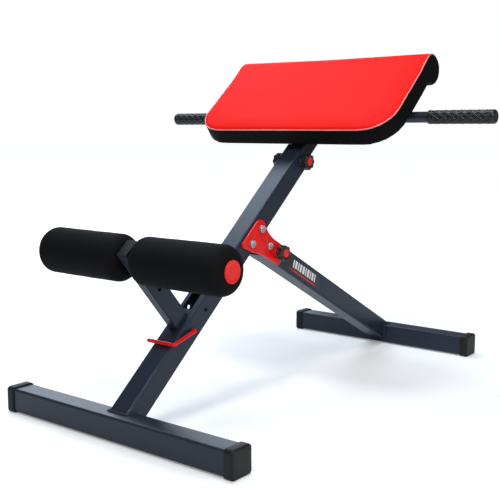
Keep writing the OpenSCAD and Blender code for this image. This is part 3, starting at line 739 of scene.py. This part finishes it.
# The block is cut into 5 mm squares, its edges relaxed, and it is then blown up by the foam's
# pressure against the board, which holds its underside. Nothing moves more than 4 mm, and each
# point's movement is shared with its neighbours so that the cover stays taut.
cutting = cushion.modifiers.new("even squares", "REMESH")
cutting.mode = "VOXEL"
cutting.voxel_size = 0.005
relaxing = cushion.modifiers.new("relaxed edges", "SMOOTH")
relaxing.factor = 0.5
relaxing.iterations = 3
bake_down(cushion)
at_rest = vertices_of(cushion.data)
most_shift, sharings, last_moment = 0.004, 60, 20
x, s, n = tube_coordinates(at_rest)
held = cushion.vertex_groups.new(name="on the board")
held.add([int(v) for v in np.flatnonzero((n < under_n + 3.5) & (s < nose_s - 26))], 1.0, "REPLACE")
cloth = cushion.modifiers.new("stretched vinyl", "CLOTH")
cloth.settings.use_pressure = True
cloth.settings.uniform_pressure_force = 4
cloth.settings.effector_weights.gravity = 0
cloth.settings.quality = 5
cloth.settings.tension_stiffness = cloth.settings.compression_stiffness = 30
cloth.settings.bending_stiffness = 4
cloth.settings.vertex_group_mass = "on the board"
cloth.point_cache.frame_start, cloth.point_cache.frame_end = 1, last_moment
for moment in range(1, last_moment + 1):
    bpy.context.scene.frame_set(moment)
blown = vertices_of(cushion.evaluated_get(bpy.context.evaluated_depsgraph_get()).data)
cushion.modifiers.clear()
shift = blown - at_rest
length = np.linalg.norm(shift, axis=1, keepdims=True)
shift *= np.minimum(1, most_shift / np.maximum(length, 1e-9))
ends = np.empty(len(cushion.data.edges) * 2, int)
cushion.data.edges.foreach_get("vertices", ends)
ends = np.r_[ends.reshape(-1, 2), ends.reshape(-1, 2)[:, ::-1]]
neighbours = np.bincount(ends[:, 0], minlength=len(shift))[:, None]
for _ in range(sharings):
    pull = np.stack([np.bincount(ends[:, 0], shift[ends[:, 1], k], len(shift)) for k in range(3)], 1)
    shift = (shift + pull / neighbours) / 2
cushion.data.vertices.foreach_set("co", (at_rest + shift).ravel())
bpy.context.scene.frame_set(1)
finer = cushion.modifiers.new("finer skin", "SUBSURF")
finer.levels = finer.render_levels = 1
bake_down(cushion)
cushion.data.polygons.foreach_set("use_smooth", np.ones(len(cushion.data.polygons), bool))
cushion.data.materials.clear()
cushion.data.materials.append(pad_vinyl)
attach(cushion, "pad_carriage")

# Panels: the red cover takes whatever lies nearer the top and the bolster than the sides, and turns
# a little way under the bolster. The rest is the black band and the underside.
x, s, n = tube_coordinates(vertices_of(cushion.data))


def depth_from_side(x, s):
    """How far a point lies inside the cushion's rounded outline."""
    over_x, over_s = np.abs(x) - flat_half, cushion_s0 + plan_r - s
    corner = plan_r - np.hypot(np.maximum(over_x, 0), np.maximum(over_s, 0))
    return np.where((over_x > 0) & (over_s > 0), corner, np.minimum(cushion_half - np.abs(x), s - cushion_s0))


def depth_from_cover(s, n):
    """How far a point lies below the flat top, or inside the bolster's round."""
    flat = (s < nose_s) & (n > nose_n - 2)
    return np.where(flat, top_n - n, nose_r - np.hypot(s - nose_s, n - nose_n))


def cover_share(x, s, n):
    """Above zero on the red cover and below zero on the black: the seam is where it crosses zero."""
    share = depth_from_side(x, s) - depth_from_cover(s, n) - 5 * ramp(s, nose_s - 60, nose_s)
    return np.where(n < nose_n - 2, np.minimum(share, s - nose_s + 6), share)


share = cover_share(x, s, n)
panel = cushion.data.attributes.new("cover", "FLOAT", "POINT")
panel.data.foreach_set("value", share.astype(np.float32))
vinyl = pad_vinyl.node_tree
cover = vinyl.nodes.new("ShaderNodeAttribute")
cover.attribute_name = "cover"
cover_edge = vinyl.nodes.new("ShaderNodeMath")
cover_edge.operation = "GREATER_THAN"
cover_edge.inputs[1].default_value = 0.0
dye = vinyl.nodes.new("ShaderNodeMix")
dye.data_type = "RGBA"
dye.inputs["A"].default_value = (0.006, 0.006, 0.0065, 1)
vinyl_shader = vinyl.nodes["Principled BSDF"]
red_dye = vinyl_shader.inputs["Base Color"].links[0].from_socket
vinyl.links.new(cover.outputs["Fac"], cover_edge.inputs[0])
vinyl.links.new(cover_edge.outputs["Value"], dye.inputs["Factor"])
vinyl.links.new(red_dye, dye.inputs["B"])
vinyl.links.new(dye.outputs["Result"], vinyl_shader.inputs["Base Color"])

# Piping: a thin cord of red vinyl, sewn into the seam between cover and band; its pale pink colour is a painted
# highlight along the rounded edge. It runs from under one end of the bolster, round the end, down one side, across the
# lower edge and back up.
piping_painted_highlight = paint("piping vinyl pale for painted highlight", (0.74, 0.17, 0.16), 0.24, (0.80, 0.24, 0.22), patch=60, grain=900, coat=0.4)
round_end = np.linspace(math.radians(-98), math.pi / 2, 60)
straight_side = np.linspace(nose_s, cushion_s0 + plan_r, 22)[1:-1]
round_plan = np.linspace(0, math.pi / 2, 30)
seam_in, end_in, cord_sides = 2.0, 4.5, 10
reach = nose_r - seam_in
half_seam_x = np.r_[np.full(len(round_end), cushion_half - seam_in - end_in),
                    cushion_half - seam_in - end_in * ramp(straight_side, nose_s - 60, nose_s),
                    flat_half + (plan_r - seam_in) * np.cos(round_plan), 0]
half_seam_s = np.r_[nose_s + reach * np.cos(round_end), straight_side,
                    cushion_s0 + plan_r - (plan_r - seam_in) * np.sin(round_plan), cushion_s0 + seam_in]
half_seam_n = np.r_[nose_n + reach * np.sin(round_end),
                    np.full(len(straight_side) + len(round_plan) + 1, top_n - seam_in)]
seam_x = np.r_[half_seam_x, -half_seam_x[-2::-1]]
seam_s = np.r_[half_seam_s, half_seam_s[-2::-1]]
seam_n = np.r_[half_seam_n, half_seam_n[-2::-1]]
seam_path = even_path(on_tube(seam_x, seam_s, seam_n), 0.002, False, 0.004)

# The path is then drawn onto the finished cushion: each point moves to the average of the cushion's
# points near the seam, the nearest counting most, and out by half a millimetre.
near_seam = vertices_of(cushion.data)[np.abs(share) < 3]
nearness = 0.0035
weight = np.exp(-((seam_path[:, None] - near_seam[None]) ** 2).sum(-1) / (2 * nearness ** 2)) + 1e-12
seam_path = (weight[..., None] * near_seam[None]).sum(1) / weight.sum(1)[:, None]
inward = on_tube(0, 900, 30) - seam_path
seam_path = seam_path - 0.0005 * inward / np.linalg.norm(inward, axis=1)[:, None]
cord = np.full(len(seam_path), 0.0016)
cord[[0, -1]] = 1e-5
make_piece("pad_piping", rod_grid(seam_path, cord, cord_sides), skin(len(seam_path), cord_sides), "pad_carriage",
           piping_painted_highlight, sharp=80)

# ----------------------------------------------------------------- Roller arm
# The drilled square tube itself is the CAD piece; its plug and its axle's collars are black mouldings with softened
# edges, and the sleeves inside the foams are given a black plastic finish.
softened("arm_end_cap", "frame", cap_plastic, 0.0012, 3)
softened("axle_collars", "frame", cap_plastic, 0.0006)
core_plastic = paint("core plastic", (0.02, 0.02, 0.02), 0.5)
recoat(core_plastic, "roller_core_left", "roller_core_right")

# Foam rollers: closed-cell foam sleeves with moulded round ends. The skin is dull, with a fine
# pebbled grain and the slight waviness of moulded foam.
roller_foam = paint("closed cell foam", (0.004, 0.004, 0.0043), 0.78, (0.006, 0.006, 0.0064), patch=30, grain=520,
                    depth=0.0005, specular=0.10)


def roller(name, side):
    """A ring section turned round the axle: bore, flat inner end, rounded shoulder, barrel, rounded
    shoulder and flat outer end. Two slow waves move the skin by a third of a millimetre."""
    low, high, inner, outer = span("foam_" + name)
    length, radius, shoulder = abs(outer - inner), (high[2] - low[2]) / 2 - 0.3, 22.0
    bore, flat_end = 12.2, 18
    bend = np.linspace(0, math.pi / 2, 16)
    barrel = np.linspace(shoulder, length - shoulder, 40)[1:-1]
    x = np.r_[0.0, 0, shoulder - shoulder * np.cos(bend), barrel, length - shoulder + shoulder * np.sin(bend),
              length, length]
    r = np.r_[bore, flat_end, radius - shoulder + shoulder * np.sin(bend), np.full(len(barrel), radius),
              radius - shoulder + shoulder * np.cos(bend), flat_end, bore]

    def wavy(ring, at, turn):
        wave = np.sin(3 * turn + at / 23) * np.sin(at / 17 + 1) + 0.6 * np.sin(5 * turn - at / 31)
        return ring + 0.22 * wave * ramp(ring, 20, 40)

    centre = round_middle(low, high)
    grid = turned(side * (abs(inner) + x), r, 128, centre, wavy)
    piece = make_piece("roller_foam_" + name, grid, skin(*grid.shape[:2], ring=True), "roller_" + name,
                       roller_foam, ["foam_" + name], sharp=60)
    low, high, inner, outer = span("roller_cap_" + name)
    disc, thick = (high[2] - low[2]) / 2, abs(outer - inner)
    x = np.r_[0, 0, 0.6, thick - 1.2 + 1.1 * np.sin(bend), thick - 0.2, thick - 0.7, thick - 0.7, thick - 0.4]
    r = np.r_[0.01, disc - 0.3, disc, disc - 1.2 + 1.2 * np.cos(bend), disc - 4, disc - 5, disc - 10, 0.01]
    grid = turned(side * (abs(inner) + x), r, 96, centre)
    make_piece("roller_button_" + name, grid, skin(*grid.shape[:2]), "roller_" + name, button_red,
               ["roller_cap_" + name], sharp=60)


roller("right", 1)
roller("left", -1)

# ---------------------------------------------------------------- Locking pin
# An 8 mm rod bent into a U with one long leg, sprayed red: the long leg goes through the main tube
# and the roller arm, the short one hooks over the top of the main tube. Its ends are domed.
pin_corners = on_tube([-34.0, 33, 33, -40], [232.0, 232, 170, 170], [-25.0, -25, 5, 5])
pin_radius, pin_step, pin_bend, pin_sides = 0.004, 0.0006, 0.0042, 32
pin_path = even_path(pin_corners, pin_step, False, pin_bend)
pin_run = np.r_[0, np.cumsum(np.linalg.norm(np.diff(pin_path, axis=0), axis=1))]
pin_end = np.clip(np.minimum(pin_run, pin_run[-1] - pin_run) / pin_radius, 0, 1)
pin_grid = rod_grid(pin_path, pin_radius * np.sqrt(np.clip(1 - (1 - pin_end) ** 2, 1e-6, 1)), pin_sides)
make_piece("locking_pin_rod", pin_grid, skin(len(pin_path), pin_sides), "locking_pin", red_powder,
           ["locking_pin"], sharp=80)
